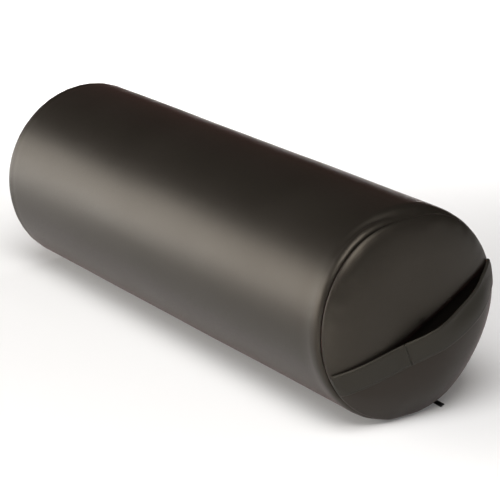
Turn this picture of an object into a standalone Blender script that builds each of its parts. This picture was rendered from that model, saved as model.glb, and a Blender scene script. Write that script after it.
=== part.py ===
"""Bolster pillow for a massage table: a foam roll in a black leathercloth cover, with a hand pocket sewn
over one end and a lengthwise zip along its underside.

Frame: the roll lies along X with the pocket end at +X, and +Z is up. The origin is under the middle of the
whole object, on the plane that it rests on. Lengths are in metres.
"""
import math

import bmesh
import bpy
from mathutils import Vector

# Overall sizes
LENGTH = 0.6604  # between the two end seams
RADIUS = 0.1143  # outside of the cover
SAG = 0.003  # how far the roll settles on its flat underside
ROLL = math.radians(23)  # how far the roll is turned about its length, away from zip straight down

# Sheets, padding and clearances
GAP = 0.0003  # between touching pieces
LEATHERCLOTH = 0.0012
SEAM_ALLOWANCE = 0.010  # cover turned in at each end seam
LINER = 0.0006
LINER_MOUTH = 0.040  # radius of the opening that the gathered liner leaves at each end
BATTING = 0.010
THREAD = 0.0008  # radius of the seam cord
RIM_STEP = 0.0022  # how far an end panel's edge sits inside the cover's outside
NEAR_CROWN = 0.012
FAR_CROWN = 0.010

# Hand pocket
POCKET_GAPE = 0.024  # how far the free edge stands off the end panel
POCKET_SKEW = 0.5  # the gape is fuller towards +Y
POCKET_DROOP = 0.0075  # how far the free edge hangs below the diameter
POCKET_SPAN = math.radians(88)  # half of the rim arc that the pocket is sewn to
POCKET_CLEAR = 0.0030  # room behind the pocket for the turned hem
POCKET_RIM_CLEAR = 0.0005
HEM_SHEET = 0.0009
HEM_WIDTH = 0.025
HEM_TURN = 0.012  # hem turned down inside the pocket
HEM_CLEAR = 0.0008  # between the hem and the curved panel inside it
HEM_SPAN = math.radians(80)
HEM_JOIN = math.radians(-16)  # where the two hem strips meet
STITCH = 0.0004  # radius of a stitch line
STITCH_INSET = 0.003  # from a sheet's edge to its stitch line

# Zip
ZIP_END = 0.006  # from an end seam to the end of the zip's slit
SLIT_HALF = 0.0045
TAPE = 0.0006
TAPE_WIDTH = 0.014
TEETH_WIDTH = 0.0023
TEETH_HEIGHT = 0.0016
STOP_LENGTH = 0.003
STOP_HEIGHT = 0.0022
STOP_HALF = 0.003
SLIDER_LENGTH = 0.011
SLIDER_HALF = 0.0042
SLIDER_PLATE = 0.0012
FLANGE = 0.0011
LUG_INNER = 0.0013  # half the gap between the slider's lugs
LUG = 0.0010
LUG_LENGTH = 0.0036
PIN_RADIUS = 0.0006
EYE_BORE = 0.0009
EYE_RADIUS = 0.0017
PIVOT_BACK = 0.014  # from the end seam back to the pull's pivot
PULL_LENGTH = 0.018
PULL_HALF = 0.0025
PULL_THICK = 0.0012
PULL_NECK = 0.0010
PULL_DROOP = math.radians(2)  # the pull hangs out by this much at rest

STEPS = 72  # facets round the roll
CROWN_STEPS = 5
POCKET_FACET = math.radians(4)  # turn of each facet across the pocket and its hem
POCKET_ROWS = 8

# Derived radii, measured from the roll's axis
COVER_INSIDE = RADIUS - LEATHERCLOTH
TAPE_OUTSIDE = COVER_INSIDE - GAP
TAPE_INSIDE = TAPE_OUTSIDE - TAPE
LINER_OUTSIDE = TAPE_INSIDE - GAP
LINER_INSIDE = LINER_OUTSIDE - LINER
BATTING_OUTSIDE = LINER_INSIDE - GAP
BATTING_INSIDE = BATTING_OUTSIDE - BATTING
FOAM_RADIUS = BATTING_INSIDE - GAP
RIM = RADIUS - RIM_STEP
PAD_RADIUS = RADIUS - SEAM_ALLOWANCE - GAP
TEETH_BASE = TAPE_OUTSIDE + GAP
TEETH_TOP = TEETH_BASE + TEETH_HEIGHT
PLATE_BASE = TEETH_TOP + GAP
PLATE_TOP = PLATE_BASE + SLIDER_PLATE
PIVOT_RADIUS = PLATE_TOP + GAP + EYE_RADIUS
AXIS_HEIGHT = RADIUS - SAG

# Materials: base colour, roughness, metallic
LEATHER_BLACK = ("leather_black", (0.030, 0.027, 0.024), 0.42, 0.0)
LEATHER_HEM = ("leather_hem", (0.034, 0.034, 0.029), 0.45, 0.0)
THREAD_BLACK = ("thread_black", (0.020, 0.020, 0.020), 0.7, 0.0)
FOAM = ("foam", (0.80, 0.76, 0.62), 0.95, 0.0)
WADDING = ("wadding", (0.86, 0.86, 0.84), 0.95, 0.0)
LINER_CLOTH = ("liner_cloth", (0.72, 0.72, 0.70), 0.9, 0.0)
ZIP_CLOTH = ("zip_cloth", (0.022, 0.022, 0.024), 0.85, 0.0)
ZIP_NYLON = ("zip_nylon", (0.028, 0.028, 0.030), 0.4, 0.0)
ZIP_METAL = ("zip_metal", (0.045, 0.045, 0.048), 0.35, 0.8)


def pocket_fullness(across):
    """Share of the gape at a place across the pocket, from -1 to 1."""
    return (1 - across * across) * math.exp(POCKET_SKEW * across)


def crown(radius, height):
    """How far a crowned end stands out at a radius from the axis."""
    return height * (1 - (radius / RIM) ** 2)


def pocket_depth(turn):
    """Distance from the pocket's free edge down to the end seam, at one turn round the rim arc."""
    across = math.sin(turn)
    return RIM * math.cos(turn) - POCKET_DROOP * pocket_fullness(across)


def pocket_inside(turn, depth):
    """A point on the pocket panel's inner face, relative to the centre of the near end seam."""
    across = math.sin(turn)
    down = POCKET_DROOP * pocket_fullness(across) + depth
    along = RIM * across
    y = along * math.cos(ROLL) + down * math.sin(ROLL)
    z = along * math.sin(ROLL) - down * math.cos(ROLL)
    share = min(max(depth / pocket_depth(turn), 0.0), 1.0)
    fade = min(max((share - 0.55) / 0.4, 0.0), 1.0)
    fade = fade * fade * (3 - 2 * fade)
    clear = POCKET_CLEAR + (POCKET_RIM_CLEAR - POCKET_CLEAR) * fade
    face = GAP + LEATHERCLOTH + crown(min(math.hypot(y, z), RIM), NEAR_CROWN)
    stand_off = POCKET_GAPE * pocket_fullness(across) * (1 - share**1.6)
    return Vector((face + clear + stand_off, y, max(z, SAG - RIM)))


def pocket_normal(turn, depth):
    step = 0.002
    inner = turn - math.copysign(step, turn)
    across = (pocket_inside(inner, depth) - pocket_inside(turn, depth)) * math.copysign(1, -turn)
    down = pocket_inside(turn, depth + step) - pocket_inside(turn, depth)
    normal = across.cross(down).normalized()
    return normal if normal.x > 0 else -normal


def pocket_reach():
    """The furthest that the hemmed free edge stands out from the near end seam."""
    turns = [math.radians(degrees) for degrees in range(-60, 61)]
    return max(pocket_inside(turn, 0).x for turn in turns) + LEATHERCLOTH + HEM_CLEAR + HEM_SHEET


NEAR_REACH = pocket_reach()
FAR_REACH = GAP + LEATHERCLOTH + FAR_CROWN
TOTAL_LENGTH = FAR_REACH + LENGTH + NEAR_REACH
NEAR_SEAM = TOTAL_LENGTH / 2 - NEAR_REACH
FAR_SEAM = NEAR_SEAM - LENGTH


def clear_scene():
    for item in list(bpy.data.objects):
        bpy.data.objects.remove(item, do_unlink=True)


def make_material(recipe):
    name, color, roughness, metallic = recipe
    material = bpy.data.materials.get(name)
    if material is None:
        material = bpy.data.materials.new(name)
        material.use_nodes = True
        shader = material.node_tree.nodes["Principled BSDF"]
        shader.inputs["Base Color"].default_value = (*color, 1.0)
        shader.inputs["Roughness"].default_value = roughness
        shader.inputs["Metallic"].default_value = metallic
    return material


def make_empty(name, location, rotation=(0, 0, 0)):
    empty = bpy.data.objects.new(name, None)
    empty.location = location
    empty.rotation_euler = rotation
    bpy.context.collection.objects.link(empty)
    return empty


def make_object(name, mesh_builder, recipe, parent, smooth=True):
    """Turn a bmesh into a named object under its parent."""
    bmesh.ops.recalc_face_normals(mesh_builder, faces=mesh_builder.faces)
    mesh = bpy.data.meshes.new(name)
    mesh_builder.to_mesh(mesh)
    mesh_builder.free()
    if smooth:
        mesh.shade_smooth()
        mesh.set_sharp_from_angle(angle=math.radians(35))
    mesh.materials.append(make_material(recipe))
    item = bpy.data.objects.new(name, mesh)
    item.parent = parent
    bpy.context.collection.objects.link(item)
    return item


def spun(profile, steps=STEPS):
    """Spin a closed outline of (x, radius) points about the roll's axis and settle it on its flat underside."""
    builder = bmesh.new()
    verts = [builder.verts.new((x, 0, radius)) for x, radius in profile]
    edges = [builder.edges.new((a, b)) for a, b in zip(verts, verts[1:] + verts[:1])]
    bmesh.ops.spin(
        builder, geom=verts + edges, axis=(1, 0, 0), cent=(0, 0, 0), angle=math.tau, steps=steps, use_merge=True
    )
    bmesh.ops.remove_doubles(builder, verts=builder.verts, dist=1e-6)
    on_axis = [edge for edge in builder.edges if all(math.hypot(v.co.y, v.co.z) < 1e-6 for v in edge.verts)]
    bmesh.ops.delete(builder, geom=on_axis, context="EDGES")
    for vert in builder.verts:
        radius = math.hypot(vert.co.y, vert.co.z)
        if radius > FOAM_RADIUS / 2:
            vert.co.z = max(vert.co.z, SAG - radius)
    return builder


def prism(section, x_start, x_end):
    """Extrude a closed (y, z) section along X."""
    builder = bmesh.new()
    face = builder.faces.new([builder.verts.new((x_start, y, z)) for y, z in section])
    grown = bmesh.ops.extrude_face_region(builder, geom=[face], use_keep_orig=True)["geom"]
    moved = [item for item in grown if isinstance(item, bmesh.types.BMVert)]
    bmesh.ops.translate(builder, verts=moved, vec=(x_end - x_start, 0, 0))
    return builder


def arc_strip(side, inner, outer, start, width, x_start, x_end, steps=4):
    """A strip that follows the roll beside the zip's centre line, on the side given as -1 or 1."""
    angles = [(start + width * step / steps) / outer for step in range(steps + 1)]
    rim = [(side * outer * math.sin(a), outer * math.cos(a)) for a in angles]
    core = [(side * inner * math.sin(a), inner * math.cos(a)) for a in reversed(angles)]
    return prism(rim + core, x_start, x_end)


def box(low, high):
    builder = bmesh.new()
    bmesh.ops.create_cube(builder, size=1.0)
    low, high = Vector(low), Vector(high)
    for vert in builder.verts:
        vert.co = Vector(a + (b - a) * (c + 0.5) for a, b, c in zip(low, high, vert.co))
    return builder


def cross_rod(radius, half_length, center=(0, 0, 0), segments=16):
    """A rod along Y."""
    builder = bmesh.new()
    bmesh.ops.create_cone(
        builder, cap_ends=True, segments=segments, radius1=radius, radius2=radius, depth=2 * half_length
    )
    bmesh.ops.rotate(builder, verts=builder.verts, cent=(0, 0, 0), matrix=rotation_onto_y())
    bmesh.ops.translate(builder, verts=builder.verts, vec=center)
    return builder


def rotation_onto_y():
    return Vector((0, 0, 1)).rotation_difference(Vector((0, 1, 0))).to_matrix()


def combine(item, builder, operation, name):
    """Join or cut an object with a guide solid, using an exact Boolean."""
    guide = make_object(name, builder, ZIP_METAL, item.parent, smooth=False)
    guide.location = item.location
    guide.rotation_euler = item.rotation_euler
    guide.hide_render = True
    guide.display_type = "WIRE"
    modifier = item.modifiers.new(name, "BOOLEAN")
    modifier.operation = operation
    modifier.solver = "EXACT"
    modifier.object = guide


def sheet(rows, columns, place):
    """A sheet whose points come from place(across, along), both from 0 to 1."""
    builder = bmesh.new()
    bmesh.ops.create_grid(builder, x_segments=columns, y_segments=rows, size=0.5)
    for vert in builder.verts:
        vert.co = place(vert.co.x + 0.5, vert.co.y + 0.5)
    return builder


def crown_profile(seam, outward, height, thickness, reach, back=0.0):
    """Outline of a crowned disc. Outward is 1 at the near end and -1 at the far end."""
    radii = [reach * step / CROWN_STEPS for step in range(CROWN_STEPS + 1)]
    front = [(seam + outward * (thickness + crown(r, height)), r) for r in radii]
    if back:
        return front + [(seam - outward * back, reach), (seam - outward * back, 0.0)]
    rear = [(seam + outward * crown(r, height), r) for r in reversed(radii)]
    return front + rear


def make_core(frame):
    """Foam roll, wadding wrap, gathered liner and the two end pads."""
    lip_near = NEAR_SEAM - LEATHERCLOTH - GAP
    lip_far = FAR_SEAM + LEATHERCLOTH + GAP
    core_near = lip_near - LINER - GAP
    core_far = lip_far + LINER + GAP
    foam = [(core_far, 0.0), (core_far, FOAM_RADIUS), (core_near, FOAM_RADIUS), (core_near, 0.0)]
    make_object("foam_core", spun(foam), FOAM, frame)
    wrap = [
        (core_far, BATTING_INSIDE),
        (core_far, BATTING_OUTSIDE),
        (core_near, BATTING_OUTSIDE),
        (core_near, BATTING_INSIDE),
    ]
    make_object("wadding_wrap", spun(wrap), WADDING, frame)
    liner = [
        (lip_far, LINER_MOUTH),
        (lip_far, LINER_OUTSIDE),
        (lip_near, LINER_OUTSIDE),
        (lip_near, LINER_MOUTH),
        (lip_near - LINER, LINER_MOUTH),
        (lip_near - LINER, LINER_INSIDE),
        (lip_far + LINER, LINER_INSIDE),
        (lip_far + LINER, LINER_MOUTH),
    ]
    make_object("core_liner", spun(liner), LINER_CLOTH, frame)
    for name, seam, outward, height in (
        ("end_pad_near", NEAR_SEAM, 1, NEAR_CROWN),
        ("end_pad_far", FAR_SEAM, -1, FAR_CROWN),
    ):
        pad = crown_profile(seam, outward, height, 0.0, PAD_RADIUS, back=LEATHERCLOTH)
        make_object(name, spun(pad), WADDING, frame)


def make_cover(frame, zip_frame):
    """Barrel panel with its turned-in ends and zip slit, the end panels and their seam cords."""
    flange = RADIUS - SEAM_ALLOWANCE
    barrel = [
        (FAR_SEAM, flange),
        (FAR_SEAM, RADIUS),
        (NEAR_SEAM, RADIUS),
        (NEAR_SEAM, flange),
        (NEAR_SEAM - LEATHERCLOTH, flange),
        (NEAR_SEAM - LEATHERCLOTH, COVER_INSIDE),
        (FAR_SEAM + LEATHERCLOTH, COVER_INSIDE),
        (FAR_SEAM + LEATHERCLOTH, flange),
    ]
    panel = make_object("barrel_panel", spun(barrel), LEATHER_BLACK, frame)
    low = (FAR_SEAM + ZIP_END, -SLIT_HALF, COVER_INSIDE - 2 * LEATHERCLOTH)
    high = (NEAR_SEAM - ZIP_END, SLIT_HALF, RADIUS + LEATHERCLOTH)
    slit = make_object("zip_slit_cutter", box(low, high), ZIP_CLOTH, zip_frame, smooth=False)
    slit.hide_render = True
    slit.display_type = "WIRE"
    cut = panel.modifiers.new("zip_slit", "BOOLEAN")
    cut.solver = "EXACT"
    cut.object = slit
    for end, seam, outward, height in (("near", NEAR_SEAM, 1, NEAR_CROWN), ("far", FAR_SEAM, -1, FAR_CROWN)):
        face = seam + outward * GAP
        disc = crown_profile(face, outward, height, LEATHERCLOTH, RIM)
        make_object("end_panel_" + end, spun(disc), LEATHER_BLACK, frame)
        middle = (seam + outward * (GAP + THREAD), RIM + GAP + THREAD)
        ring = [
            (middle[0] + THREAD * math.cos(math.tau * k / 6), middle[1] + THREAD * math.sin(math.tau * k / 6))
            for k in range(6)
        ]
        make_object("seam_cord_" + end, spun(ring), THREAD_BLACK, frame)


def hem_course(turn):
    """The hem strip's middle line as (depth, stand-off) points: up the outside, over the edge, down inside."""
    depth = pocket_depth(turn)
    half = HEM_SHEET / 2
    outside = LEATHERCLOTH + HEM_CLEAR + half
    inside = -HEM_CLEAR - half
    outer_depth = min(HEM_WIDTH, depth - STITCH_INSET)
    inner_depth = min(HEM_TURN, 0.45 * depth)
    ring = (outside - inside) / 2
    top = [(-ring * math.sin(math.pi * k / 4), inside + ring * (1 + math.cos(math.pi * k / 4))) for k in range(5)]
    face = [(outer_depth * share, outside) for share in (1.0, 0.75, 0.5, 0.25)]
    return [*face, *top, (inner_depth, inside)]


def make_pocket(near_end):
    """The half-moon hand pocket, its two hem strips and the hem's stitch line."""

    def panel_point(across, along):
        turn = POCKET_SPAN * (2 * across - 1)
        return pocket_inside(turn, pocket_depth(turn) * along)

    facets = round(2 * POCKET_SPAN / POCKET_FACET)
    panel = make_object("pocket_panel", sheet(POCKET_ROWS, facets, panel_point), LEATHER_BLACK, near_end)
    thicken(panel, LEATHERCLOTH, 1)
    join_gap = GAP / RIM / 2
    for side, start, end in (
        ("left", -HEM_SPAN, HEM_JOIN - join_gap),
        ("right", HEM_JOIN + join_gap, HEM_SPAN),
    ):

        def hem_point(across, along):
            turn = start + (end - start) * across
            course = hem_course(turn)
            depth, stand_off = course[round(along * (len(course) - 1))]
            return pocket_inside(turn, depth) + pocket_normal(turn, max(depth, 0)) * stand_off

        rows = len(hem_course(0)) - 1
        facets = round((end - start) / POCKET_FACET)
        hem = make_object("pocket_hem_" + side, sheet(rows, facets, hem_point), LEATHER_HEM, near_end)
        thicken(hem, HEM_SHEET, 0)
    make_hem_stitch(near_end)


def thicken(item, thickness, side):
    """Give a sheet its thickness, with its normals first turned to face out of the end (+X)."""
    mesh = item.data
    if sum(polygon.normal.x * polygon.area for polygon in mesh.polygons) < 0:
        mesh.flip_normals()
    modifier = item.modifiers.new("thickness", "SOLIDIFY")
    modifier.thickness = thickness
    modifier.offset = side
    modifier.use_even_offset = True


def make_hem_stitch(near_end):
    curve = bpy.data.curves.new("hem_stitch", "CURVE")
    curve.dimensions = "3D"
    curve.bevel_depth = STITCH
    curve.bevel_resolution = 1
    curve.use_fill_caps = True
    turns = [HEM_SPAN * 0.9 * (k / 14 - 1) for k in range(29)]
    line = curve.splines.new("POLY")
    line.points.add(len(turns) - 1)
    stand_off = LEATHERCLOTH + HEM_CLEAR + HEM_SHEET + GAP + STITCH
    for point, turn in zip(line.points, turns):
        depth = min(HEM_WIDTH, pocket_depth(turn) - STITCH_INSET) - STITCH_INSET
        place = pocket_inside(turn, depth) + pocket_normal(turn, depth) * stand_off
        point.co = (*place, 1)
    curve.materials.append(make_material(THREAD_BLACK))
    item = bpy.data.objects.new("hem_stitch", curve)
    item.parent = near_end
    bpy.context.collection.objects.link(item)


def make_zip(zip_frame):
    """Tapes, teeth, stops, topstitching, slider and pull. In this frame Z is outward and Y is across."""
    slit_near = NEAR_SEAM - ZIP_END
    slit_far = FAR_SEAM + ZIP_END
    tape_near = NEAR_SEAM - LEATHERCLOTH - GAP
    tape_far = FAR_SEAM + LEATHERCLOTH + GAP
    stop_near = slit_near - GAP - STOP_LENGTH
    stop_far = slit_far + GAP + STOP_LENGTH
    for side, sign in (("left", 1), ("right", -1)):
        tape = arc_strip(sign, TAPE_INSIDE, TAPE_OUTSIDE, GAP / 2, TAPE_WIDTH, tape_far, tape_near)
        make_object("zip_tape_" + side, tape, ZIP_CLOTH, zip_frame)
        edges = sorted((sign * GAP / 2, sign * (GAP / 2 + TEETH_WIDTH)))
        teeth = box((stop_far + GAP, edges[0], TEETH_BASE), (stop_near - GAP, edges[1], TEETH_TOP))
        make_object("zip_teeth_" + side, teeth, ZIP_NYLON, zip_frame, smooth=False)
        line = SLIT_HALF + STITCH_INSET
        inner = RADIUS + GAP
        stitch = arc_strip(sign, inner, inner + STITCH, line, 2 * STITCH, slit_far, slit_near, steps=1)
        make_object("zip_stitch_" + side, stitch, THREAD_BLACK, zip_frame, smooth=False)
    for end, x in (("near", stop_near), ("far", slit_far + GAP)):
        stop = box((x, -STOP_HALF, TEETH_BASE), (x + STOP_LENGTH, STOP_HALF, TEETH_BASE + STOP_HEIGHT))
        make_object("zip_stop_" + end, stop, ZIP_METAL, zip_frame, smooth=False)
    make_slider(zip_frame, stop_near - GAP)
    make_pull(zip_frame)


def make_slider(zip_frame, front):
    """Slider plate over the teeth, with side flanges, lugs and a cross pin. Its origin is on the pin."""
    pivot_x = NEAR_SEAM - PIVOT_BACK
    start = front - SLIDER_LENGTH - pivot_x
    end = front - pivot_x
    base = PLATE_BASE - PIVOT_RADIUS
    top = PLATE_TOP - PIVOT_RADIUS
    plate = box((start, -SLIDER_HALF, base), (end, SLIDER_HALF, top))
    slider = make_object("zip_slider", plate, ZIP_METAL, zip_frame, smooth=False)
    slider.location = (pivot_x, 0, PIVOT_RADIUS)
    teeth_half = GAP / 2 + TEETH_WIDTH + GAP
    bite = SLIDER_PLATE / 4
    for side, sign in (("left", 1), ("right", -1)):
        flange = sorted((sign * teeth_half, sign * (teeth_half + FLANGE)))
        low = (start, flange[0], TEETH_BASE - PIVOT_RADIUS)
        combine(slider, box(low, (end, flange[1], base + bite)), "UNION", "slider_flange_" + side)
        lug = sorted((sign * LUG_INNER, sign * (LUG_INNER + LUG)))
        low = (-LUG_LENGTH / 2, lug[0], top - bite)
        high = (LUG_LENGTH / 2, lug[1], EYE_RADIUS - LUG / 2)
        combine(slider, box(low, high), "UNION", "slider_lug_" + side)
    combine(slider, cross_rod(PIN_RADIUS, LUG_INNER + LUG / 2), "UNION", "slider_pin")


def make_pull(zip_frame):
    """Pull tab: an eye round the slider's pin, a neck and a flat tab. Its origin is on the pin."""
    pull = make_object("zip_pull", cross_rod(EYE_RADIUS, PULL_NECK, segments=24), ZIP_METAL, zip_frame)
    pull.location = (NEAR_SEAM - PIVOT_BACK, 0, PIVOT_RADIUS)
    pull.rotation_euler = (0, -PULL_DROOP, 0)
    half = PULL_THICK / 2
    tab_start = LUG_LENGTH / 2 + 3 * GAP
    neck = box((EYE_BORE + GAP, -PULL_NECK, -half), (tab_start + half, PULL_NECK, half))
    combine(pull, neck, "UNION", "pull_neck")
    tab = box((tab_start, -PULL_HALF, -half * 0.999), (PULL_LENGTH, PULL_HALF, half * 0.999))
    combine(pull, tab, "UNION", "pull_tab")
    combine(pull, cross_rod(EYE_BORE, 2 * PULL_NECK), "DIFFERENCE", "pull_bore")


def main():
    clear_scene()
    frame = make_empty("roll_axis", (0, 0, AXIS_HEIGHT))
    near_end = make_empty("near_end", (NEAR_SEAM, 0, AXIS_HEIGHT))
    zip_frame = make_empty("zip_line", (0, 0, AXIS_HEIGHT), (ROLL - math.pi, 0, 0))
    make_core(frame)
    make_cover(frame, zip_frame)
    make_pocket(near_end)
    make_zip(zip_frame)
    bpy.context.view_layer.update()


main()
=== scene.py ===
import math

import bmesh
import bpy
from mathutils import Matrix, Vector, noise


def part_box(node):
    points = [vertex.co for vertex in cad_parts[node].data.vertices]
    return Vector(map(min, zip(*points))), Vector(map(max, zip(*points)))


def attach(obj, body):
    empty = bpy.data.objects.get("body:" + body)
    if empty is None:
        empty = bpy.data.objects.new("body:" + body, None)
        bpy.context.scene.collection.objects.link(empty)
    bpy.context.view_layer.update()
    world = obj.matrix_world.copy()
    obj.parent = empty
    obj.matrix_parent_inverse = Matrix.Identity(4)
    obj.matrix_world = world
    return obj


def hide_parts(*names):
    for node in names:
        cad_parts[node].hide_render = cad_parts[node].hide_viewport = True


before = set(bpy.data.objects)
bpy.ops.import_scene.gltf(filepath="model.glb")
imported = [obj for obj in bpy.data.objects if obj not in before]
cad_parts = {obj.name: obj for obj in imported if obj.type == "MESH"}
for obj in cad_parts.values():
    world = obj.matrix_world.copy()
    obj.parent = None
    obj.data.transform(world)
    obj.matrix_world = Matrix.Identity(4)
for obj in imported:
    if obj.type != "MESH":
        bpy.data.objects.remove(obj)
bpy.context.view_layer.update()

# Places and sizes from the frame, in metres
barrel_low, barrel_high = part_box("barrel_panel")
NEAR = barrel_high.x
FAR = barrel_low.x
RADIUS = (barrel_high.y - barrel_low.y) / 2
AXIS_Z = barrel_high.z - RADIUS
SAG = RADIUS + barrel_low.z - AXIS_Z
ROLL = math.radians(23)
ZIP_TURN = ROLL - math.pi / 2

# Leathercloth cover
AROUND = 160
SHEET = 0.0012
GAP = 0.0003
TURN_IN = 0.0085
ALLOWANCE = 0.0015
EDGE_LENGTH = 0.0070
EDGE_DROP = 0.0045
FAR_EDGE_LENGTH = 0.0040
FAR_EDGE_DROP = 0.0030
RIM = RADIUS - 0.0030
UNDERCUT = 0.0022
SEAM_MOUTH = 0.0020
FRONT_MOUTH = 0.0019
NEAR_CROWN = 0.0215
FAR_CROWN = 0.0125
FAR_SLUMP = 0.0025
CROWN_POWER = 2.6
CROWN_ROUND = 1.6

# Slump of the near end, as shares of the radius. The top folds in, in a wide dip and a narrower tuck, about
# FOLD_ANGLE degrees round the axis. Each of the other dips has a depth, an angle and a width in degrees.
TOP_DIP = 0.034
TOP_DIP_REACH = 0.019
TOP_TUCK = 0.026
TOP_TUCK_REACH = 0.010
FOLD_ANGLE = 93
FOLD_WIDTH = 24
SEAM_DIPS = ((0.009, 30, 30), (0.072, -35, 34), (0.016, -83, 14), (-0.006, 205, 35))
SEAM_DIP_REACH = 0.055

# Unevenness of the filled cover: long waves on the barrel and the end, puckers and gathers beside the seams
BARREL_WAVE = 0.0004
SEAM_PUCKER = 0.0007
SEAM_PUCKER_REACH = 0.009
CROWN_WAVE = 0.0012
CROWN_GATHER = 0.0010

# Filling
CORE_EDGE = 0.006
CORE_SHORT = 0.004
WADDING = 0.0094
WADDING_INSET = 0.0095
WADDING_CLEAR = 0.0002
WADDING_EDGE = 0.003
LINER = 0.0006
LINER_MOUTH = 0.040
LINER_INSET = 0.001
LINER_EDGE = 0.006

# Stitches: half the length, width and height of one, and how many or how far apart
SEAM_STITCH = (0.0017, 0.0003, 0.0003)
SEAM_STITCH_COUNT = 168
HEM_STITCH = (0.0016, 0.00030, 0.00026)
HEM_STITCH_COUNT = 58
HEM_STITCH_INSET = 0.0022
ZIP_STITCH = (0.0017, 0.00036, 0.00036)
ZIP_STITCH_PITCH = 0.0040
TOPSTITCH_OFF = 0.0079

# Zip
SLIT_FACET = math.tau / AROUND
ZIP_OUT = Vector((0, math.cos(ZIP_TURN), math.sin(ZIP_TURN)))
ZIP_ACROSS = ZIP_OUT.cross(Vector((1, 0, 0)))
TOOTH = (0.0016, 0.00066, 0.0008)
TOOTH_PITCH = 0.0030
TOOTH_OFF = 0.0011
TEETH_BASE = 0.1131
CASTING_EDGE = 0.00022

# Hand pocket. Its mouth stands off by a share of the radius, and SKEW puts its widest place to the right.
STAND_OFF = 0.32
SKEW = 0.5
DROOP = 0.0075
MOUTH_SINK = 0.0075
MOUTH_SINK_RISE = 0.013
POCKET_CLEAR = 0.0028
POCKET_CLOSING = 0.0022
LIP_CURL = 0.0060
LIP_CURL_DEPTH = 0.011
LIP_RIPPLE = 0.0010
POCKET_END = math.radians(88.5)
HEM_WIDTH = 0.0250
HEM_TURN = 0.0120
HEM_SHEET = 0.0009
HEM_CLEAR = 0.0003
HEM_MARGIN = 0.002
HEM_JOIN = math.radians(-17)
HEM_JOIN_HALF_GAP = 0.0015  # radians
HEM_END = math.radians(84)

# Stage. The camera's place is in radii from the middle of the roll.
CAMERA_PLACE = (15.775, -10.43, 6.0)
CAMERA_DOWN = math.radians(18.072)
CAMERA_ROUND = math.radians(55.901)
CAMERA_LENS = 141.44
FLOOR_RADIUS = 4.5
FLOOR_DROP = 0.0003
BACKDROP_HEIGHT = 6
BACKDROP_MIDDLE = 2.9


def smooth(value):
    """0 at 0 and below, 1 at 1 and above, easing between."""
    value = min(max(value, 0.0), 1.0)
    return value * value * (3 - 2 * value)


def bell(value, centre, width):
    """A smooth rise to 1 at the centre."""
    return math.exp(-(((value - centre) / width) ** 2))


def bump(angle, centre, width):
    """A bell round the axis: the angle is in radians, its centre and width in degrees."""
    return bell((math.degrees(angle) - centre + 180) % 360, 180, width)


def soft_floor(value, width):
    """The value where it is well above 0, easing into 0 below."""
    return width * math.log1p(math.exp(min(value / width, 30.0)))


# ---------------------------------------------------------------- shader expressions


class Value:
    """A shader socket that can be used in Python expressions."""

    def __init__(self, material, socket):
        self.material = material
        self.socket = socket

    def math(self, operation, *values):
        return self.material.node("ShaderNodeMath", {"operation": operation}, values)

    def __add__(self, other):
        return self.math("ADD", self, other)

    def __sub__(self, other):
        return self.math("SUBTRACT", self, other)

    def __rsub__(self, other):
        return self.math("SUBTRACT", other, self)

    def __mul__(self, other):
        return self.math("MULTIPLY", self, other)

    __radd__ = __add__
    __rmul__ = __mul__

    def ramp(self, low, high):
        """0 below low, 1 above high, smooth between."""
        settings = {"interpolation_type": "SMOOTHSTEP"}
        return self.material.node("ShaderNodeMapRange", settings, {0: self, 1: low, 2: high})


class Finish:
    """A procedural material on Object coordinates."""

    def __init__(self, name, **uniform):
        self.data = bpy.data.materials.new(name)
        self.data.use_nodes = True
        self.nodes = self.data.node_tree.nodes
        self.links = self.data.node_tree.links
        self.shader = self.nodes["Principled BSDF"]
        for socket, value in uniform.items():
            self.shader.inputs[socket.replace("_", " ")].default_value = value
        self.place = self.node("ShaderNodeTexCoord", {}, {}, "Object")

    def node(self, kind, settings, values, output=0):
        made = self.nodes.new(kind)
        for name, setting in settings.items():
            setattr(made, name, setting)
        for key, value in values.items() if isinstance(values, dict) else enumerate(values):
            if isinstance(value, Value):
                self.links.new(value.socket, made.inputs[key])
            else:
                made.inputs[key].default_value = value
        return Value(self, made.outputs[output])

    def scaled(self, x, y, z):
        return self.node("ShaderNodeMapping", {}, {"Vector": self.place, "Scale": (x, y, z)})

    def noise(self, scale, detail=2.0, place=None):
        values = {"Vector": place or self.place, "Scale": scale, "Detail": detail}
        return self.node("ShaderNodeTexNoise", {}, values)

    def cells(self, scale):
        return self.node("ShaderNodeTexVoronoi", {}, {"Vector": self.place, "Scale": scale})

    def bands(self, direction, scale):
        settings = {"wave_type": "BANDS", "bands_direction": direction}
        return self.node("ShaderNodeTexWave", settings, {"Vector": self.place, "Scale": scale}, "Fac")

    def mix(self, factor, first, second):
        values = {0: factor, 6: (*first, 1), 7: (*second, 1)}
        return self.node("ShaderNodeMix", {"data_type": "RGBA"}, values, 2)

    def feed(self, socket, value):
        self.links.new(value.socket, self.shader.inputs[socket])

    def relief(self, height, distance):
        self.feed("Normal", self.node("ShaderNodeBump", {}, {"Height": height, "Distance": distance}))


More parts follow.
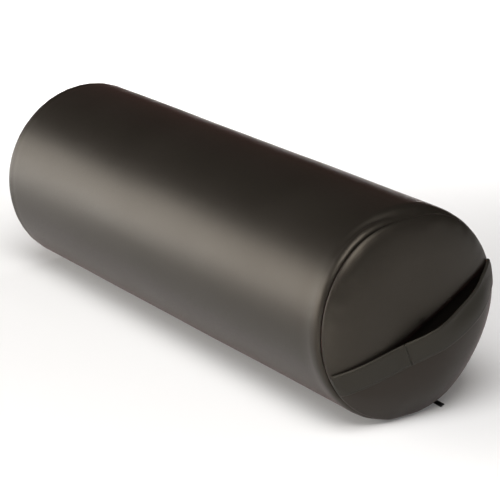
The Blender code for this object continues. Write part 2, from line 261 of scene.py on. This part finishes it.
def leathercloth_finish(name, tones, roughness, grain, gloss):
    """Coated upholstery cloth: very fine pebble grain, faint creasing and a slightly uneven sheen."""
    # The reddish sheen tint is a painted reflection of red surroundings, which tints every grazing edge of
    # the cover.
    sheen = {"Sheen_Weight": 0.08, "Sheen_Roughness": 0.25, "Sheen_Tint": (1.0, 0.42, 0.36, 1)}
    made = Finish(name, Specular_IOR_Level=gloss, Specular_Tint=(1.0, 0.87, 0.71, 1), **sheen)
    patches = made.noise(9.0, 3.0)
    fine = made.noise(420.0, 3.0)
    made.feed("Base Color", made.mix((patches * 0.7 + fine * 0.3).ramp(0.3, 0.7), *tones))
    made.feed("Roughness", roughness + (patches - 0.5) * 0.08 + (fine - 0.5) * 0.12)
    pebble = made.cells(1500.0)
    ripple = made.noise(120.0, 2.0)
    made.relief(pebble * 0.6 + fine * 0.6 + ripple * 0.5, grain)
    return made.data


def thread_finish():
    made = Finish("sewing_thread_black")
    strands = made.noise(2600.0, 1.0)
    made.feed("Base Color", made.mix(strands, (0.010, 0.010, 0.011), (0.030, 0.029, 0.028)))
    made.feed("Roughness", 0.50 + strands * 0.25)
    made.relief(strands, 0.0001)
    return made.data


def foam_finish():
    made = Finish("open_cell_foam")
    pores = made.cells(700.0)
    tone = made.noise(14.0, 3.0)
    shade = (tone * 0.6 + pores * 0.7).ramp(0.3, 0.9)
    made.feed("Base Color", made.mix(shade, (0.66, 0.60, 0.44), (0.84, 0.80, 0.66)))
    made.feed("Roughness", 0.86 + pores * 0.12)
    made.relief(pores, 0.0008)
    return made.data


def wadding_finish():
    made = Finish("fibre_wadding", Sheen_Weight=0.3)
    fibres = made.noise(900.0, 4.0, made.scaled(0.2, 1.0, 1.0))
    tufts = made.noise(60.0, 3.0)
    made.feed("Base Color", made.mix(fibres * 0.5 + tufts * 0.5, (0.74, 0.74, 0.71), (0.92, 0.92, 0.90)))
    made.feed("Roughness", 0.88 + fibres * 0.10)
    made.relief(fibres * 0.5 + tufts, 0.0016)
    return made.data


def liner_finish():
    made = Finish("nonwoven_liner")
    dots = made.cells(600.0)
    web = made.noise(300.0, 4.0)
    made.feed("Base Color", made.mix(web, (0.62, 0.62, 0.60), (0.80, 0.80, 0.78)))
    made.feed("Roughness", 0.80 + dots * 0.15)
    made.relief(dots + web, 0.0003)
    return made.data


def zip_tape_finish():
    made = Finish("woven_zip_tape")
    weave = made.bands("X", 700.0) * made.bands("DIAGONAL", 900.0)
    tone = made.noise(120.0)
    made.feed("Base Color", made.mix(weave * 0.7 + tone * 0.3, (0.012, 0.012, 0.013), (0.036, 0.036, 0.038)))
    made.feed("Roughness", 0.66 + weave * 0.22)
    made.relief(weave, 0.00025)
    return made.data


def nylon_finish():
    made = Finish("nylon_coil_black", Specular_IOR_Level=0.5)
    tone = made.noise(500.0)
    made.feed("Base Color", made.mix(tone, (0.014, 0.014, 0.015), (0.030, 0.030, 0.032)))
    made.feed("Roughness", 0.28 + tone * 0.14)
    made.relief(tone, 0.00004)
    return made.data


def enamel_finish():
    """Black enamel on a small die casting, rubbed a little on its high spots."""
    made = Finish("zip_enamel_black")
    wear = made.noise(900.0, 4.0).ramp(0.62, 0.72)
    orange_peel = made.noise(2200.0, 2.0)
    made.feed("Base Color", made.mix(wear, (0.018, 0.018, 0.019), (0.16, 0.155, 0.15)))
    made.feed("Metallic", 0.15 + wear * 0.6)
    made.feed("Roughness", 0.30 + orange_peel * 0.10 + wear * 0.08)
    made.relief(orange_peel - wear * 0.4, 0.00006)
    return made.data


# ---------------------------------------------------------------- making pieces


def finish_piece(name, builder, material, replaced, body="roll"):
    """Turn a finished bmesh into a piece in the frame."""
    mesh = bpy.data.meshes.new(name)
    builder.to_mesh(mesh)
    builder.free()
    mesh.shade_smooth()
    mesh.materials.append(material)
    item = bpy.data.objects.new(name, mesh)
    bpy.context.scene.collection.objects.link(item)
    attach(item, body)
    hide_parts(*replaced)
    return item


def lathe(profile, start=0.0):
    """Spin an open (x, radius) profile about the roll's axis, its first ring point at the start angle."""
    builder = bmesh.new()
    verts = [builder.verts.new((x, r * math.cos(start), r * math.sin(start))) for x, r in profile]
    edges = [builder.edges.new(pair) for pair in zip(verts, verts[1:])]
    bmesh.ops.spin(builder, geom=verts + edges, axis=(1, 0, 0), angle=math.tau, steps=AROUND, use_merge=True)
    bmesh.ops.remove_doubles(builder, verts=builder.verts, dist=1e-6)
    return builder


def to_frame(builder, outward):
    """Lift a piece from the roll's axis to its place, and turn its faces outward."""
    bmesh.ops.recalc_face_normals(builder, faces=builder.faces)
    facing = 0.0
    for face in builder.faces:
        facing += face.normal.dot(outward(face.calc_center_median())) * face.calc_area()
    if facing < 0:
        bmesh.ops.reverse_faces(builder, faces=builder.faces)
    bmesh.ops.translate(builder, verts=builder.verts, vec=(0, 0, AXIS_Z))


def give_wall(item, thickness, offset):
    """Thicken a surface: inward for an offset of -1, outward for 1, both ways for 0."""
    wall = item.modifiers.new("wall", "SOLIDIFY")
    wall.thickness = thickness
    wall.offset = offset
    wall.use_even_offset = True


def small_form(around, along):
    """A rounded form, one unit in radius, that is copied for every stitch or tooth. Its poles lie along X."""
    builder = bmesh.new()
    turned = Matrix.Rotation(math.pi / 2, 4, "Y")
    bmesh.ops.create_uvsphere(builder, u_segments=around, v_segments=along, radius=1, matrix=turned)
    mesh = bpy.data.meshes.new("small_form")
    builder.to_mesh(mesh)
    builder.free()
    return mesh


def add_form(builder, form, centre, along, out, sizes):
    """Add one copy of a small form: sizes are half its length, width and height."""
    along = along.normalized()
    side = out.cross(along).normalized()
    basis = Matrix((along, side, along.cross(side))).transposed().to_4x4()
    copy = form.copy()
    copy.transform(Matrix.Translation(centre) @ basis @ Matrix.Diagonal((*sizes, 1)))
    builder.from_mesh(copy)
    bpy.data.meshes.remove(copy)


STITCH_FORM = small_form(6, 5)
TOOTH_FORM = small_form(6, 6)


# ---------------------------------------------------------------- shape of the roll


def seam_dip(angle):
    """Share of the radius by which the near end seam has slumped inward."""
    dip = (TOP_DIP + TOP_TUCK) * bump(angle, FOLD_ANGLE, FOLD_WIDTH)
    for depth, centre, width in SEAM_DIPS:
        dip += depth * bump(angle, centre, width)
    return dip


def barrel_share(x, angle):
    """Share of the full radius at a place on the barrel."""
    back = NEAR - x
    # The near edge follows its slumped seam, and its top folds in behind the end panel
    top = bump(angle, FOLD_ANGLE, FOLD_WIDTH)
    share = 1 - (seam_dip(angle) - (TOP_DIP + TOP_TUCK) * top) * (1 - smooth(back / SEAM_DIP_REACH)) ** 2
    share -= top * TOP_DIP * (1 - smooth(back / TOP_DIP_REACH))
    share -= top * TOP_TUCK * (1 - smooth(back / TOP_TUCK_REACH))
    # At the front the cloth swells over the seam allowance and dips behind it
    share += (0.0045 * bell(back, 0.011, 0.0050) - 0.0025 * bell(back, 0.026, 0.009)) * bump(angle, 185, 45)
    # A valley runs behind the top of the seam and moves away from it towards the front
    valley = 0.0042 + 0.0070 * smooth((math.degrees(angle) - 86) / 38)
    share -= 0.0190 * bell(back, valley, 0.0040) * bump(angle, 104, 28)
    # The far edge is drawn in a little by its seam, with a low swelling beside it
    front = x - FAR
    share -= FAR_SLUMP * (1 - smooth(front / 0.016)) ** 2
    share += 0.0016 * bell(front, 0.0065, 0.0026) - 0.0016 * bell(front, 0.0130, 0.0036)
    return share


def slump(share, angle):
    """What is left of the radius at a place on the near end."""
    return 1 - seam_dip(angle) * share * share


def settle(point, radius):
    """Keep a point on the flat underside, given its radius before slumping. The flat fades out inward."""
    limit = SAG * smooth((radius / RADIUS - 0.6) / 0.35) - radius
    if point.z < limit + 0.004:
        point.z = limit + soft_floor(point.z - limit, 0.0005)


def spread(start, end, first, count):
    """Places from start to end, closer together towards both ends."""
    reach = (end - start) / 2
    shares = [1 - math.cos(math.pi * k / (2 * count)) for k in range(count + 1)]
    near_start = [start + first + (reach - first) * share for share in shares]
    near_end = [end - first - (reach - first) * share for share in reversed(shares[:-1])]
    return near_start + near_end


def rounded_edge(end, radius, length, drop, steps):
    """A quarter round from the side of a tube to its end; the length is negative at a far end."""
    arc = [math.radians(90 * k / steps) for k in range(steps + 1)]
    return [(end - length * (1 - math.sin(a)), radius - drop * (1 - math.cos(a))) for a in arc]


def barrel_profile():
    """From the turned-in allowance at the far end, over the edge, along the barrel and in again."""
    near_edge = rounded_edge(NEAR, RADIUS, EDGE_LENGTH, EDGE_DROP, 7)
    far_edge = rounded_edge(FAR, RADIUS, -FAR_EDGE_LENGTH, FAR_EDGE_DROP, 7)
    along = spread(FAR + FAR_EDGE_LENGTH, NEAR - EDGE_LENGTH, 0.0012, 44)
    inner = RADIUS - EDGE_DROP - TURN_IN
    profile = [(FAR, inner), (FAR, RADIUS - FAR_EDGE_DROP - ALLOWANCE), *reversed(far_edge)]
    profile += [(x, RADIUS) for x in along]
    return profile + near_edge + [(NEAR, RADIUS - EDGE_DROP - ALLOWANCE), (NEAR, inner)]


def in_zip_slit(face, low_x, high_x):
    """Whether a face of the barrel's outside lies in the opening over the zip."""
    centre = face.calc_center_median()
    turn = (math.atan2(centre.z, centre.y) - ZIP_TURN + math.pi) % math.tau - math.pi
    outside = math.hypot(centre.y, centre.z) > RADIUS * 0.99
    return outside and low_x < centre.x < high_x and abs(turn) < SLIT_FACET


def make_barrel(material):
    builder = lathe(barrel_profile(), ZIP_TURN)
    zip_low, zip_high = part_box("zip_stitch_left")
    slit = [face for face in builder.faces if in_zip_slit(face, zip_low.x, zip_high.x)]
    bmesh.ops.delete(builder, geom=slit, context="FACES")
    for vert in builder.verts:
        angle = math.atan2(vert.co.z, vert.co.y)
        rest = math.hypot(vert.co.y, vert.co.z)
        round_trip = Vector((vert.co.x * 9, math.cos(angle) * 1.6, math.sin(angle) * 1.6))
        radius = rest * barrel_share(vert.co.x, angle) + noise.noise(round_trip) * BARREL_WAVE
        ends = math.exp(-(NEAR - vert.co.x) / SEAM_PUCKER_REACH)
        ends += math.exp(-(vert.co.x - FAR) / SEAM_PUCKER_REACH)
        pucker = Vector((math.cos(angle) * 11, math.sin(angle) * 11, vert.co.x * 12))
        radius += noise.noise(pucker) * SEAM_PUCKER * ends
        vert.co.y = radius * math.cos(angle)
        vert.co.z = radius * math.sin(angle)
        settle(vert.co, rest)
    to_frame(builder, lambda c: Vector((0, c.y, c.z)))
    item = finish_piece("barrel_cover", builder, material, ["barrel_panel"])
    give_wall(item, SHEET, -1)


def crown_at(share, angle=math.pi / 2, crown=NEAR_CROWN):
    """How far an end panel stands off its seam. Its edge is pressed flatter at the lower right."""
    edge = CROWN_ROUND - 0.52 * bump(angle, -14, 58)
    return GAP + crown * (1 - min(share, 1.0) ** CROWN_POWER) ** (1 / edge)


def mouth_at(share, angle):
    """Height of an end panel's edge above its seam. The groove is a little wider at the front."""
    return SEAM_MOUTH + FRONT_MOUTH * share**6 * bump(angle, 200, 62)


def crown_profile():
    """Radii of an end panel's rings, as shares of its rim, closest together at the rounded edge."""
    inward = [0, 0.0006, 0.002, 0.005, 0.010, 0.016, 0.024, 0.034, 0.046, 0.061, 0.080, 0.102, 0.130, 0.165]
    inward += [0.21 + 0.79 * k / 14 for k in range(15)]
    return [1 - step for step in inward]


def under_pocket(y, z):
    """How far the end panel sinks behind the pocket's mouth, where the hand goes."""
    along = min(max((y * math.cos(ROLL) + z * math.sin(ROLL)) / RIM, -1.0), 1.0)
    down = y * math.sin(ROLL) - z * math.cos(ROLL)
    rise = MOUTH_SINK_RISE * smooth((along + 0.7) / 1.3) * math.sqrt(1 - along * along)
    below = down - DROOP * fullness(along) + rise
    edge = smooth((1 - math.hypot(y, z) / RIM) / 0.25)
    return MOUTH_SINK * smooth(below / MOUTH_SINK_RISE) * edge * smooth((along + 0.75) / 0.8)


def make_end(name, outward, seam, crown, material, replaced):
    """An end panel, from its turned-in allowance and undercut edge over the crown to the axis."""
    edge = [(GAP, RIM - TURN_IN), (GAP, RIM - 0.003)]
    edge += [(GAP * 1.01, RIM - UNDERCUT), (SHEET, RIM - UNDERCUT / 2)]
    builder = lathe(edge + [(SEAM_MOUTH + 0.001 * (1 - share), RIM * share) for share in crown_profile()])
    for vert in builder.verts:
        angle = math.atan2(vert.co.z, vert.co.y)
        rest = math.hypot(vert.co.y, vert.co.z)
        share = rest / RIM
        pull = slump(share, angle) if outward > 0 else 1 - FAR_SLUMP * share * share
        height = vert.co.x
        if height >= SEAM_MOUTH:
            height = mouth_at(share, angle) + crown_at(share, angle if outward > 0 else math.pi / 2, crown)
            wave = Vector((vert.co.y * 16, vert.co.z * 16, seam))
            height += noise.noise(wave) * CROWN_WAVE * (1 - share**4)
            gather = Vector((math.cos(angle) * 9, math.sin(angle) * 9, seam))
            height += noise.noise(gather) * CROWN_GATHER * bell(share, 0.93, 0.06)
            height -= under_pocket(vert.co.y, vert.co.z) if outward > 0 else 0
        vert.co = Vector((height, vert.co.y * pull, vert.co.z * pull))
        settle(vert.co, rest)
        vert.co.x = seam + outward * vert.co.x
    to_frame(builder, lambda c: Vector((outward, 0, 0)))
    item = finish_piece(name, builder, material, replaced)
    give_wall(item, SHEET, -1)


def make_seam_stitches(name, outward, seam, material, replaced):
    """The thread lying in the bottom of an end seam."""
    builder = bmesh.new()
    for step in range(SEAM_STITCH_COUNT):
        angle = math.tau * step / SEAM_STITCH_COUNT
        pull = slump(1, angle) if outward > 0 else 1 - FAR_SLUMP
        radius = (RIM - UNDERCUT) * pull
        centre = Vector((seam + outward * GAP / 2, radius * math.cos(angle), radius * math.sin(angle)))
        settle(centre, RIM - UNDERCUT)
        centre.z += AXIS_Z
        along = Vector((0, -math.sin(angle), math.cos(angle)))
        add_form(builder, STITCH_FORM, centre, along, Vector((outward, 0, 0)), SEAM_STITCH)
    finish_piece(name, builder, material, replaced)


# ---------------------------------------------------------------- filling


def inner_shell(x_low, x_high, radius, mouth, edge):
    """A round-edged tube or block about the roll's axis; mouth is the radius at which its ends stop."""
    near_edge = rounded_edge(x_high, radius, edge, edge, 6)
    far_edge = rounded_edge(x_low, radius, -edge, edge, 6)
    side = [(x_low + edge + (x_high - x_low - 2 * edge) * k / 24, radius) for k in range(1, 24)]
    builder = lathe([(x_low, mouth), *reversed(far_edge), *side, *near_edge, (x_high, mouth)])
    for vert in builder.verts:
        rest = math.hypot(vert.co.y, vert.co.z)
        angle = math.atan2(vert.co.z, vert.co.y)
        pressed = barrel_share(vert.co.x, angle) - 0.006 * noise.noise(vert.co * 14) ** 2
        vert.co.y *= pressed
        vert.co.z *= pressed
        settle(vert.co, rest)
    to_frame(builder, lambda c: Vector((c.x - (x_low + x_high) / 2, c.y, c.z)))
    return builder


def make_foam_roll(foam):
    low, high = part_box("foam_core")
    builder = inner_shell(low.x, high.x - CORE_SHORT, (high.y - low.y) / 2, 0, CORE_EDGE)
    item = finish_piece("foam_roll", builder, foam, ["foam_core"])


def make_wadding_sleeve(wadding):
    low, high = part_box("wadding_wrap")
    low_x = low.x + WADDING_INSET
    high_x = high.x - WADDING_INSET
    radius = (high.y - low.y) / 2
    builder = inner_shell(low_x, high_x, radius - WADDING_CLEAR, radius - WADDING_INSET, WADDING_EDGE)
    item = finish_piece("wadding_sleeve", builder, wadding, ["wadding_wrap"])
    give_wall(item, WADDING, -1)


def make_liner_sleeve(liner):
    """A tube with gathered round ends, each left open in the middle."""
    low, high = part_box("core_liner")
    radius = (high.y - low.y) / 2
    builder = inner_shell(low.x + LINER_INSET, high.x - LINER_INSET, radius, LINER_MOUTH, LINER_EDGE)
    item = finish_piece("liner_sleeve", builder, liner, ["core_liner"])
    give_wall(item, LINER, -1)


# ---------------------------------------------------------------- hand pocket


def fullness(across):
    """How full the pocket's mouth is, from -1 at its left end to 1 at its right."""
    return (1 - across * across) * math.exp(SKEW * across)


def pocket_depth(turn):
    """From the pocket's free edge to its seam. The turn is a quarter circle either way from the middle."""
    return RIM * math.cos(turn) * 0.985 - DROOP * fullness(math.sin(turn))


def pocket_point(turn, depth):
    """A point on the pocket panel's inner face, a depth below its free edge, from the roll's axis."""
    across = math.sin(turn)
    down = DROOP * fullness(across) + depth
    along = RIM * across * 0.992
    y = along * math.cos(ROLL) + down * math.sin(ROLL)
    z = along * math.sin(ROLL) - down * math.cos(ROLL)
    rest = math.hypot(y, z)
    share = min(rest / RIM, 1.0)
    angle = math.atan2(z, y)
    pull = slump(share, angle)
    part = min(max(depth / pocket_depth(turn), 0.0), 1.0)
    clear = (POCKET_CLEAR - POCKET_CLOSING * smooth((part - 0.5) / 0.45)) * (1 - 0.7 * across**8)
    lip = min(math.hypot(across, DROOP / RIM * fullness(across)), 1.0)
    gape = soft_floor(STAND_OFF * RADIUS * fullness(across) - crown_at(lip) - clear, 0.0022)
    base = crown_at(share, angle) + mouth_at(share, angle)
    lift = gape * (1 - part**1.7)
    lift += LIP_RIPPLE * math.sin(across * 9 + 1.2) * (1 - part) * (1 - across * across)
    curl = LIP_CURL * smooth((across + 0.1) / 0.6) * bell(depth, 0, LIP_CURL_DEPTH) * (1 - across**4)
    point = Vector((base + clear + max(lift - curl, 0.3 * lift), y * pull, z * pull))
    settle(point, rest)
    return point + Vector((NEAR, 0, 0))


def pocket_out(turn, depth):
    """The pocket panel's outward direction."""
    side = -math.copysign(0.01, turn)
    across = (pocket_point(turn + side, depth) - pocket_point(turn, depth)) * math.copysign(1, side)
    down = pocket_point(turn, depth + 0.0015) - pocket_point(turn, depth)
    out = across.cross(down).normalized()
    return out if out.x > 0 else -out


def sheet_grid(columns, rows, place):
    """A grid laid over a surface; place gives each point from its shares across and along."""
    builder = bmesh.new()
    bmesh.ops.create_grid(builder, x_segments=columns, y_segments=rows, size=0.5)
    for vert in builder.verts:
        vert.co = place(vert.co.x + 0.5, vert.co.y + 0.5)
    return builder


def make_pocket_panel(material):
    def place(across, along):
        turn = POCKET_END * (2 * across - 1)
        return pocket_point(turn, pocket_depth(turn) * along)

    builder = sheet_grid(140, 56, place)
    to_frame(builder, lambda c: Vector((1, 0, 0)))
    item = finish_piece("pocket_cover", builder, material, ["pocket_panel"])
    give_wall(item, SHEET, 1)
    return item


def make_hem(name, start, end, columns, material, replaced):
    """A strip folded over the pocket's free edge: outer leg, fold and inner leg."""
    half = HEM_SHEET / 2
    outside = SHEET + HEM_CLEAR + half
    inside = -HEM_CLEAR - half
    ring = (outside - inside) / 2

    def place(across, along):
        turn = start + (end - start) * across
        outer = min(HEM_WIDTH, pocket_depth(turn) - HEM_MARGIN)
        inner = min(HEM_TURN, 0.45 * pocket_depth(turn))
        run = along * (outer + math.pi * ring + inner) - outer
        if run < 0:
            depth, off = -run, outside
        elif run < math.pi * ring:
            depth, off = -ring * math.sin(run / ring), inside + ring * (1 + math.cos(run / ring))
        else:
            depth, off = run - math.pi * ring, inside
        return pocket_point(turn, depth) + pocket_out(turn, max(depth, 0.0)) * off

    builder = sheet_grid(columns, 44, place)
    spine = [pocket_point(start + (end - start) * k / 20, 0.004) for k in range(21)]
    to_frame(builder, lambda c: c - min(spine, key=lambda p: (p - c).length))
    item = finish_piece(name, builder, material, replaced)
    give_wall(item, HEM_SHEET, 0)
    return item


def make_hem_stitches(material):
    """Lockstitches along the hem's lower edge, which end where the hem runs out into the seam."""
    builder = bmesh.new()
    proud = SHEET + HEM_CLEAR + HEM_SHEET
    for step in range(HEM_STITCH_COUNT):
        turn = math.asin(-0.93 + 1.86 * (step + 0.5) / HEM_STITCH_COUNT)
        depth = min(HEM_WIDTH, pocket_depth(turn) - HEM_MARGIN) - HEM_STITCH_INSET
        if depth < 0.003:
            continue
        out = pocket_out(turn, depth)
        centre = pocket_point(turn, depth) + out * proud
        ahead = pocket_point(turn + 0.01, depth) - pocket_point(turn - 0.01, depth)
        add_form(builder, STITCH_FORM, centre + Vector((0, 0, AXIS_Z)), ahead, out, HEM_STITCH)
    return finish_piece("pocket_hem_stitches", builder, material, ["hem_stitch"])


def make_pocket(leather, hem, thread):
    panel = make_pocket_panel(leather)
    left_end = HEM_JOIN - HEM_JOIN_HALF_GAP
    right_start = HEM_JOIN + HEM_JOIN_HALF_GAP
    left = make_hem("pocket_hem_strip_left", -HEM_END, left_end, 60, hem, ["pocket_hem_left"])
    right = make_hem("pocket_hem_strip_right", right_start, HEM_END, 90, hem, ["pocket_hem_right"])
    stitches = make_hem_stitches(thread)


# ---------------------------------------------------------------- zip


def zip_place(x, across, out):
    """A place on the zip: across from its centre line, and out from the roll's axis."""
    return Vector((x, 0, AXIS_Z)) + ZIP_ACROSS * across + ZIP_OUT * out


def make_coil(name, side, shift, material, replaced):
    """One side's row of coil teeth, which reach across the middle between the other side's."""
    builder = bmesh.new()
    low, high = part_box(replaced[0])
    count = int((high.x - low.x - TOOTH_PITCH) / TOOTH_PITCH)
    for step in range(count):
        x = low.x + TOOTH_PITCH * (step + 0.5 + shift)
        centre = zip_place(x, side * TOOTH_OFF, TEETH_BASE + TOOTH[2])
        add_form(builder, TOOTH_FORM, centre, ZIP_ACROSS, ZIP_OUT, TOOTH)
    finish_piece(name, builder, material, replaced)


def make_topstitch(name, side, material, replaced):
    builder = bmesh.new()
    low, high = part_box(replaced[0])
    for step in range(int((high.x - low.x) / ZIP_STITCH_PITCH)):
        x = low.x + ZIP_STITCH_PITCH * (step + 0.6)
        centre = zip_place(x, side * TOPSTITCH_OFF, RADIUS - 0.0001)
        add_form(builder, STITCH_FORM, centre, Vector((1, 0, 0)), ZIP_OUT, ZIP_STITCH)
    finish_piece(name, builder, material, replaced)


def softened_copy(name, node, material, body):
    """A casting like the frame's own, with its sharp edges rounded over."""
    builder = bmesh.new()
    builder.from_mesh(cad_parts[node].data)
    bmesh.ops.remove_doubles(builder, verts=builder.verts, dist=1e-6)
    bmesh.ops.dissolve_limit(builder, angle_limit=math.radians(2), verts=builder.verts, edges=builder.edges)
    sharp = [edge for edge in builder.edges if edge.is_manifold and edge.calc_face_angle() > math.radians(40)]
    bmesh.ops.bevel(
        builder,
        geom=sharp,
        affect="EDGES",
        offset=CASTING_EDGE,
        segments=2,
        profile=0.5,
        material=-1,
        clamp_overlap=True,
    )
    finish_piece(name, builder, material, [node], body)


def make_zip(tape, nylon, enamel, thread):
    make_coil("zip_coil_left", 1, 0.0, nylon, ["zip_teeth_left"])
    make_coil("zip_coil_right", -1, 0.5, nylon, ["zip_teeth_right"])
    make_topstitch("zip_topstitch_left", 1, thread, ["zip_stitch_left"])
    make_topstitch("zip_topstitch_right", -1, thread, ["zip_stitch_right"])
    softened_copy("zip_slider_casting", "zip_slider", enamel, "slider")
    softened_copy("zip_pull_tab", "zip_pull", enamel, "pull")
    kept = {"zip_tape_left": tape, "zip_tape_right": tape, "zip_stop_near": enamel, "zip_stop_far": enamel}
    for node, material in kept.items():
        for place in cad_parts[node].material_slots:
            place.material = material


# ---------------------------------------------------------------- stage, light and camera


def make_camera():
    data = bpy.data.cameras.new("camera")
    data.sensor_width = 36
    data.lens = CAMERA_LENS
    data.clip_end = 50
    camera = bpy.data.objects.new("camera", data)
    middle = Vector(((NEAR + FAR) / 2, 0, AXIS_Z))
    camera.location = middle + RADIUS * Vector(CAMERA_PLACE)
    camera.rotation_euler = (math.pi / 2 - CAMERA_DOWN, 0, CAMERA_ROUND)
    bpy.context.scene.collection.objects.link(camera)
    bpy.context.scene.camera = camera


def soft_light(name, place, target, width, height, power, color=(1, 1, 1), spread=180):
    data = bpy.data.lights.new(name, "AREA")
    data.shape = "RECTANGLE"
    data.size = width
    data.size_y = height
    data.energy = power
    data.color = color
    data.spread = math.radians(spread)
    light = bpy.data.objects.new(name, data)
    light.location = place
    light.rotation_euler = (Vector(target) - Vector(place)).to_track_quat("-Z", "Y").to_euler()
    bpy.context.scene.collection.objects.link(light)


def stage_object(name, builder, material):
    mesh = bpy.data.meshes.new(name)
    builder.to_mesh(mesh)
    builder.free()
    mesh.materials.append(material)
    item = bpy.data.objects.new(name, mesh)
    bpy.context.scene.collection.objects.link(item)
    return item


def make_floor():
    """A pale floor that glows more with distance, so that it meets the backdrop without a line."""
    builder = bmesh.new()
    bmesh.ops.create_circle(builder, cap_ends=True, segments=96, radius=FLOOR_RADIUS)
    bmesh.ops.translate(builder, verts=builder.verts, vec=(0, 0, -FLOOR_DROP))
    pale = Finish("studio_floor", Specular_IOR_Level=0.1, Emission_Strength=1.0)
    tone = pale.noise(3.0)
    away = pale.node("ShaderNodeVectorMath", {"operation": "LENGTH"}, (pale.place,), "Value")
    pale.feed("Emission Color", pale.mix(away.ramp(1.1, 2.3), (0.10, 0.10, 0.10), (0.95, 0.95, 0.95)))
    pale.feed("Base Color", pale.mix(tone, (0.86, 0.86, 0.86), (0.88, 0.88, 0.88)))
    pale.feed("Roughness", 0.85 + tone * 0.1)
    stage_object("studio_floor", builder, pale.data)


def make_backdrop():
    """A round wall seen by the camera alone."""
    builder = bmesh.new()
    bmesh.ops.create_cone(
        builder,
        segments=96,
        radius1=FLOOR_RADIUS,
        radius2=FLOOR_RADIUS,
        depth=BACKDROP_HEIGHT,
        matrix=Matrix.Translation((0, 0, BACKDROP_MIDDLE)),
    )
    bmesh.ops.reverse_faces(builder, faces=builder.faces)
    glow = Finish("studio_backdrop", Emission_Strength=1.0, Specular_IOR_Level=0.0)
    glow.feed("Emission Color", glow.mix(glow.noise(0.4), (0.90, 0.90, 0.90), (0.94, 0.94, 0.94)))
    backdrop = stage_object("studio_backdrop", builder, glow.data)
    backdrop.visible_diffuse = False
    backdrop.visible_glossy = False
    backdrop.visible_shadow = False


def make_light():
    """Softboxes for the roll's long highlight and its end, and washes that lift the floor round it."""
    world = bpy.data.worlds.new("studio")
    bpy.context.scene.world = world
    world.use_nodes = True
    background = world.node_tree.nodes["Background"]
    background.inputs["Color"].default_value = (0.70, 0.50, 0.42, 1)
    background.inputs["Strength"].default_value = 0.07
    soft_light("left_softbox", (-1.25, -1.92, 0.50), (0.10, 0, 0.26), 3.2, 1.18, 61, (1, 0.97, 0.92))
    soft_light("top_softbox", (1.2, -1.1, 2.5), (0.1, -0.1, 0), 2.0, 2.0, 80)
    soft_light("right_fill", (2.3, 1.7, 0.75), (0, 0, 0.35), 2.8, 1.4, 7)
    soft_light("left_wash", (-1.15, -0.95, 2.4), (-1.15, -0.95, 0), 0.6, 0.6, 14, spread=40)
    soft_light("front_wash", (0.85, -0.50, 2.2), (0.85, -0.50, 0), 0.4, 0.4, 4, spread=24)
    soft_light("front_fill", (2.0, -0.65, 2.15), (NEAR, 0, AXIS_Z), 0.9, 0.6, 6.5, (1, 0.95, 0.88))
    soft_light("back_wash", (-1.7, 1.4, 2.6), (-1.7, 1.4, 0), 1.2, 1.2, 48, spread=64)
    bpy.context.scene.view_settings.view_transform = "Standard"


make_camera()
make_floor()
make_backdrop()
make_light()

cover_tones = ((0.0085, 0.0076, 0.0062), (0.0115, 0.0102, 0.0085))
# The hem and the pocket are copies of the cover's leathercloth with painted tones. The hem's lighter, greener
# tones are painted light on the upturned hem, and the pocket's reddish tones are a painted reflection of red
# surroundings.
hem_tones_painted_light = ((0.0105, 0.0104, 0.0086), (0.0145, 0.0142, 0.0120))
pocket_tones_painted_reflection = ((0.0096, 0.0073, 0.0063), (0.0126, 0.0098, 0.0086))
leather = leathercloth_finish("leathercloth_black", cover_tones, 0.42, 0.00006, 0.43)
hem_leather_painted_light = leathercloth_finish("leathercloth_hem_painted_light", hem_tones_painted_light, 0.48, 0.00008, 0.33)
pocket_leather_painted_reflection = leathercloth_finish("leathercloth_pocket_painted_reflection", pocket_tones_painted_reflection, 0.46, 0.00007, 0.33)
thread = thread_finish()

make_barrel(leather)
make_end("near_end_cover", 1, NEAR, NEAR_CROWN, leather, ["end_panel_near", "end_pad_near"])
make_end("far_end_cover", -1, FAR, FAR_CROWN, leather, ["end_panel_far", "end_pad_far"])
make_seam_stitches("near_seam_stitches", 1, NEAR, thread, ["seam_cord_near"])
make_seam_stitches("far_seam_stitches", -1, FAR, thread, ["seam_cord_far"])
make_pocket(pocket_leather_painted_reflection, hem_leather_painted_light, thread)
make_foam_roll(foam_finish())
make_wadding_sleeve(wadding_finish())
make_liner_sleeve(liner_finish())
make_zip(zip_tape_finish(), nylon_finish(), enamel_finish(), thread)
